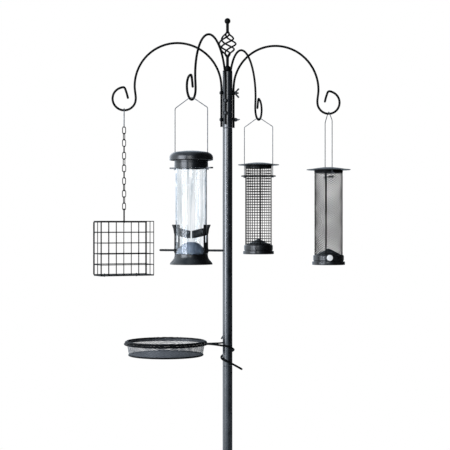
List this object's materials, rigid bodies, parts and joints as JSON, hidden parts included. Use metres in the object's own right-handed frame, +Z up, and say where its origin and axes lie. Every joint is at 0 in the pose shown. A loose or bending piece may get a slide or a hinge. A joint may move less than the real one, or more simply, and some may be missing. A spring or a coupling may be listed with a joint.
{
  "type": "bird feeding station",
  "caption": "Garden pole on a ground spike with crook arms holding a seed feeder, nut feeder, mealworm feeder and cake cage, and a mesh seed tray.",
  "frame": {"origin": "on the pole's axis at soil level, where the ground spike's step plate rests on the ground", "axes": "+Z up along the pole, +X to the right with the tray on -X, +Y to the back"},
  "size_m": [0.5786, 0.5343, 2.0785],
  "materials": {
    "coated_tube": "smooth black powder coat with a soft gloss",
    "coated_wire": "black powder coat on bent steel wire",
    "grey_steel": "dark grey painted steel, satin",
    "zinc_wire": "zinc-plated wire, softly bright",
    "black_plastic": "moulded black polypropylene, satin",
    "smoked_plastic": "smoke-grey moulded polystyrene, glossy",
    "clear_tube": "clear extruded polycarbonate, glossy"
  },
  "bodies": {
    "pole": {"ground_spike": "coated_tube", "pole_lower": "coated_tube", "pole_middle": "coated_tube", "pole_upper": "coated_tube", "top_tube": "coated_tube", "finial": "coated_wire", "hook_arm_left": "coated_wire", "hook_arm_right": "coated_wire", "hook_arm_front": "coated_wire", "hook_arm_rear": "coated_wire", "arm_bolt_side_1": "grey_steel", "arm_bolt_side_2": "grey_steel", "arm_bolt_fore_1": "grey_steel", "arm_bolt_fore_2": "grey_steel"},
    "wing_nut_side_low": {"wing_nut_side_1": "grey_steel"},
    "wing_nut_side_high": {"wing_nut_side_2": "grey_steel"},
    "wing_nut_fore_low": {"wing_nut_fore_1": "grey_steel"},
    "wing_nut_fore_high": {"wing_nut_fore_2": "grey_steel"},
    "seed_feeder": {"seed_bail": "zinc_wire", "seed_collar": "black_plastic", "seed_tube": "clear_tube", "seed_port_a": "black_plastic", "seed_port_b": "black_plastic", "seed_perch": "black_plastic", "seed_base": "black_plastic", "seed_baffle": "smoked_plastic"},
    "seed_feeder_lid": {"seed_lid": "black_plastic"},
    "nut_feeder": {"nut_bail": "zinc_wire", "nut_ring": "coated_tube", "nut_mesh": "coated_wire", "nut_base": "black_plastic", "nut_cone": "black_plastic"},
    "nut_feeder_lid": {"nut_lid": "grey_steel"},
    "worm_feeder": {"worm_bail": "zinc_wire", "worm_cross_bar": "coated_tube", "worm_mesh": "coated_wire", "worm_base": "black_plastic", "worm_cone": "black_plastic", "worm_button": "zinc_wire"},
    "worm_feeder_lid": {"worm_lid": "grey_steel"},
    "cage_hanger": {"cage_hanger": "zinc_wire"},
    "chain_upper": {"chain_link_01": "coated_wire", "chain_link_02": "coated_wire", "chain_link_03": "coated_wire", "chain_link_04": "coated_wire", "chain_link_05": "coated_wire"},
    "chain_lower": {"chain_link_06": "coated_wire", "chain_link_07": "coated_wire", "chain_link_08": "coated_wire", "chain_link_09": "coated_wire", "chain_link_10": "coated_wire", "chain_link_11": "coated_wire", "chain_link_12": "coated_wire", "chain_link_13": "coated_wire"},
    "cake_cage": {"cage_hook": "coated_wire", "cage_frame": "coated_wire"},
    "cake_cage_door": {"cage_door": "coated_wire"},
    "tray_bracket": {"tray_bracket": "coated_wire"},
    "tray_dish": {"tray_rim": "coated_wire", "tray_pan": "coated_wire"}
  },
  "joints": [
    {"name": "wing_nut_side_low_turn", "type": "hinge", "parent": "pole", "child": "wing_nut_side_low", "pos_m": [0.01674, 0.00235, 1.621], "axis": [0.9903, 0.1392, 0], "continuous": true},
    {"name": "wing_nut_side_high_turn", "type": "hinge", "parent": "pole", "child": "wing_nut_side_high", "pos_m": [0.01674, 0.00235, 1.681], "axis": [0.9903, 0.1392, 0], "continuous": true},
    {"name": "wing_nut_fore_low_turn", "type": "hinge", "parent": "pole", "child": "wing_nut_fore_low", "pos_m": [0.0055, 0.01598, 1.635], "axis": [0.3256, 0.9455, 0], "continuous": true},
    {"name": "wing_nut_fore_high_turn", "type": "hinge", "parent": "pole", "child": "wing_nut_fore_high", "pos_m": [0.0055, 0.01598, 1.663], "axis": [0.3256, 0.9455, 0], "continuous": true},
    {"name": "seed_feeder_swing", "type": "hinge", "parent": "pole", "child": "seed_feeder", "pos_m": [-0.07563, -0.21964, 1.644], "axis": [-0.3256, -0.9455, 0], "range_deg": [-20, 20]},
    {"name": "seed_lid_lift", "type": "slide", "parent": "seed_feeder", "child": "seed_feeder_lid", "axis": [0, 0, 1], "range_m": [0, 0.07]},
    {"name": "nut_feeder_swing", "type": "hinge", "parent": "pole", "child": "nut_feeder", "pos_m": [0.07563, 0.21964, 1.639], "axis": [0.3256, 0.9455, 0], "range_deg": [-20, 20]},
    {"name": "nut_lid_lift", "type": "slide", "parent": "nut_feeder", "child": "nut_feeder_lid", "axis": [0, 0, 1], "range_m": [0, 0.07]},
    {"name": "worm_feeder_swing", "type": "hinge", "parent": "pole", "child": "worm_feeder", "pos_m": [0.23004, 0.03233, 1.637], "axis": [0.9903, 0.1392, 0], "range_deg": [-20, 20]},
    {"name": "worm_lid_lift", "type": "slide", "parent": "worm_feeder", "child": "worm_feeder_lid", "axis": [0, 0, 1], "range_m": [0, 0.07]},
    {"name": "cage_hanger_swing", "type": "hinge", "parent": "pole", "child": "cage_hanger", "pos_m": [-0.23004, -0.03233, 1.639], "axis": [-0.9903, -0.1392, 0], "range_deg": [-15, 15]},
    {"name": "chain_upper_swing", "type": "hinge", "parent": "cage_hanger", "child": "chain_upper", "pos_m": [-0.23004, -0.03233, 1.6004], "axis": [0.1392, -0.9903, 0], "range_deg": [-15, 15]},
    {"name": "chain_lower_swing", "type": "hinge", "parent": "chain_upper", "child": "chain_lower", "pos_m": [-0.23004, -0.03233, 1.52995], "axis": [-0.9903, -0.1392, 0], "range_deg": [-15, 15]},
    {"name": "cake_cage_swing", "type": "hinge", "parent": "chain_lower", "child": "cake_cage", "pos_m": [-0.23004, -0.03233, 1.41715], "axis": [-0.9903, -0.1392, 0], "range_deg": [-15, 15]},
    {"name": "cage_door_hinge", "type": "hinge", "parent": "cake_cage", "child": "cake_cage_door", "pos_m": [-0.23976, -0.01149, 1.27225], "axis": [-0.9063, -0.4226, 0], "range_deg": [0, 100]},
    {"name": "tray_swivel", "type": "hinge", "parent": "pole", "child": "tray_bracket", "pos_m": [0, 0, 1.117], "axis": [0, 0, 1], "range_deg": [-170, 170]},
    {"name": "tray_dish_lift", "type": "slide", "parent": "tray_bracket", "child": "tray_dish", "axis": [0, 0, 1], "range_m": [0, 0.06]}
  ]
}
